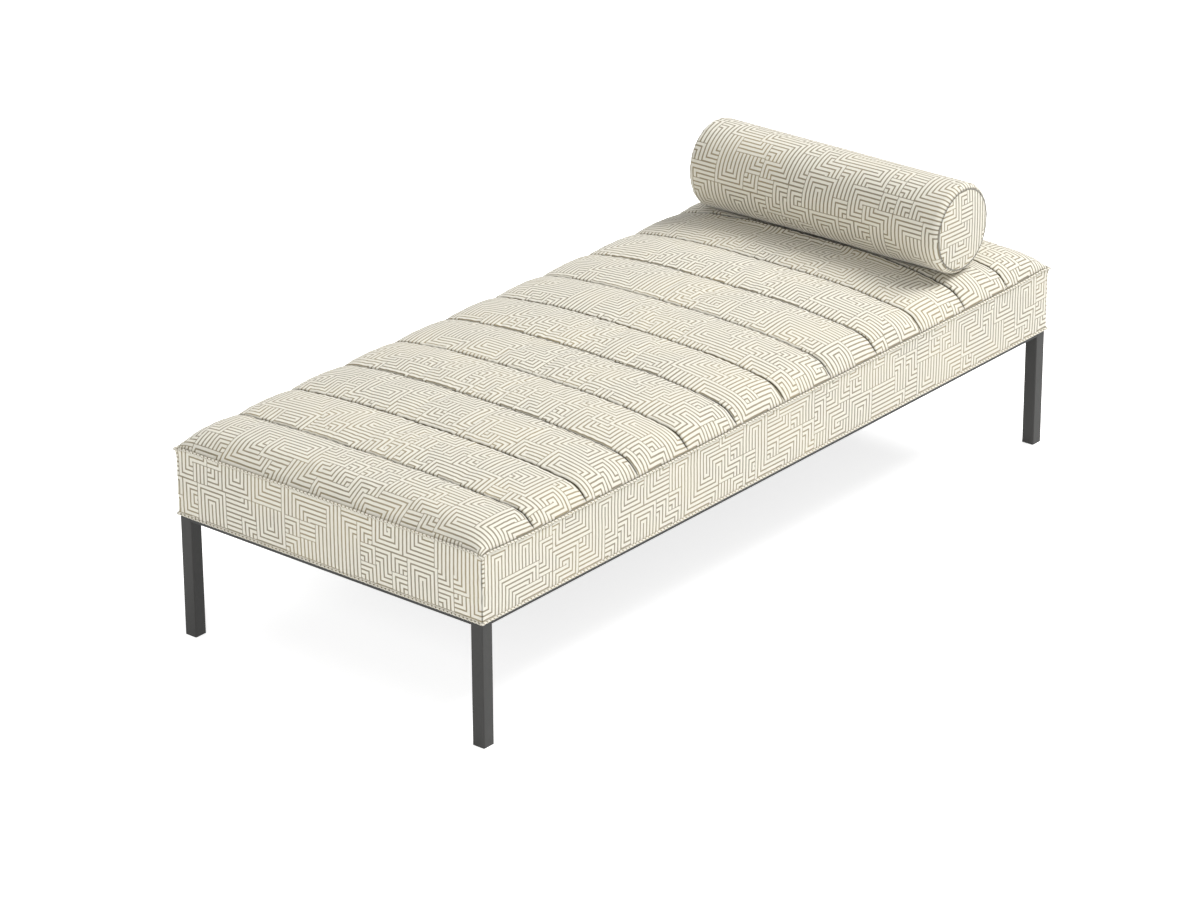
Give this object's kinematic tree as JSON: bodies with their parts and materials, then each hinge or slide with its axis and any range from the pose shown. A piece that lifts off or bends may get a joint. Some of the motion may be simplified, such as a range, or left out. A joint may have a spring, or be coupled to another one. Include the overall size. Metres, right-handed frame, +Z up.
{
  "type": "backless divan",
  "caption": "Backless upholstered divan with a channelled seat, slim square-legged steel base and a loose round bolster at the head end.",
  "frame": {"origin": "middle of the divan's box, on the floor", "axes": "+X along the length towards the end with the bolster, +Y across the width, +Z up"},
  "size_m": [1.9, 0.812, 0.672],
  "materials": {
    "black_steel": "satin",
    "glide_plastic": "matte",
    "zinc_steel": "satin",
    "timber": "matte",
    "webbing": "matte",
    "dust_cloth": "matte",
    "foam": "matte",
    "fret_cloth": "matte",
    "welt_cloth": "matte",
    "zip_tape": "matte",
    "zip_metal": "satin"
  },
  "bodies": {
    "root": {"leg_foot_near": "black_steel", "leg_foot_far": "black_steel", "leg_head_near": "black_steel", "leg_head_far": "black_steel", "glide_foot_near": "glide_plastic", "glide_foot_far": "glide_plastic", "glide_head_near": "glide_plastic", "glide_head_far": "glide_plastic", "corner_plate_foot_near": "black_steel", "corner_plate_foot_far": "black_steel", "corner_plate_head_near": "black_steel", "corner_plate_head_far": "black_steel", "corner_block_foot_near": "timber", "corner_block_foot_far": "timber", "corner_block_head_near": "timber", "corner_block_head_far": "timber", "end_rail_foot": "black_steel", "end_rail_head": "black_steel", "cross_bar_foot": "black_steel", "cross_bar_head": "black_steel", "end_board_foot": "timber", "end_board_head": "timber", "stretcher_foot": "timber", "stretcher_head": "timber", "end_band_foot": "fret_cloth", "end_band_head": "fret_cloth", "side_rail_near": "black_steel", "side_rail_far": "black_steel", "side_board_near": "timber", "side_board_far": "timber", "side_band_near": "fret_cloth", "side_band_far": "fret_cloth", "long_strap_1": "webbing", "long_strap_2": "webbing", "long_strap_3": "webbing", "long_strap_4": "webbing", "long_strap_5": "webbing", "frame_screws": "zinc_steel", "box_dowels": "timber", "cross_straps": "webbing", "dust_cover": "dust_cloth", "foam_core": "foam", "quilted_top": "fret_cloth", "top_welt": "welt_cloth", "bottom_welt": "welt_cloth"},
    "bolster": {"bolster_cover": "fret_cloth", "bolster_disc_near": "fret_cloth", "bolster_disc_far": "fret_cloth", "bolster_pad": "foam", "zip_tape": "zip_tape"},
    "slider": {"zip_slider": "zip_metal"},
    "pull": {"zip_pull": "zip_metal"}
  },
  "joints": [
    {"name": "bolster_lift", "type": "slide", "parent": "root", "child": "bolster", "axis": [0, 0, 1], "range_m": [0, 0.35]},
    {"name": "zip_slide", "type": "slide", "parent": "bolster", "child": "slider", "axis": [0, 1, 0], "range_m": [0, 0.4674]},
    {"name": "pull_swing", "type": "hinge", "parent": "slider", "child": "pull", "pos_m": [0.78761, -0.2487, 0.59531], "axis": [0.2079, 0, -0.9781], "range_deg": [0, 175]}
  ]
}
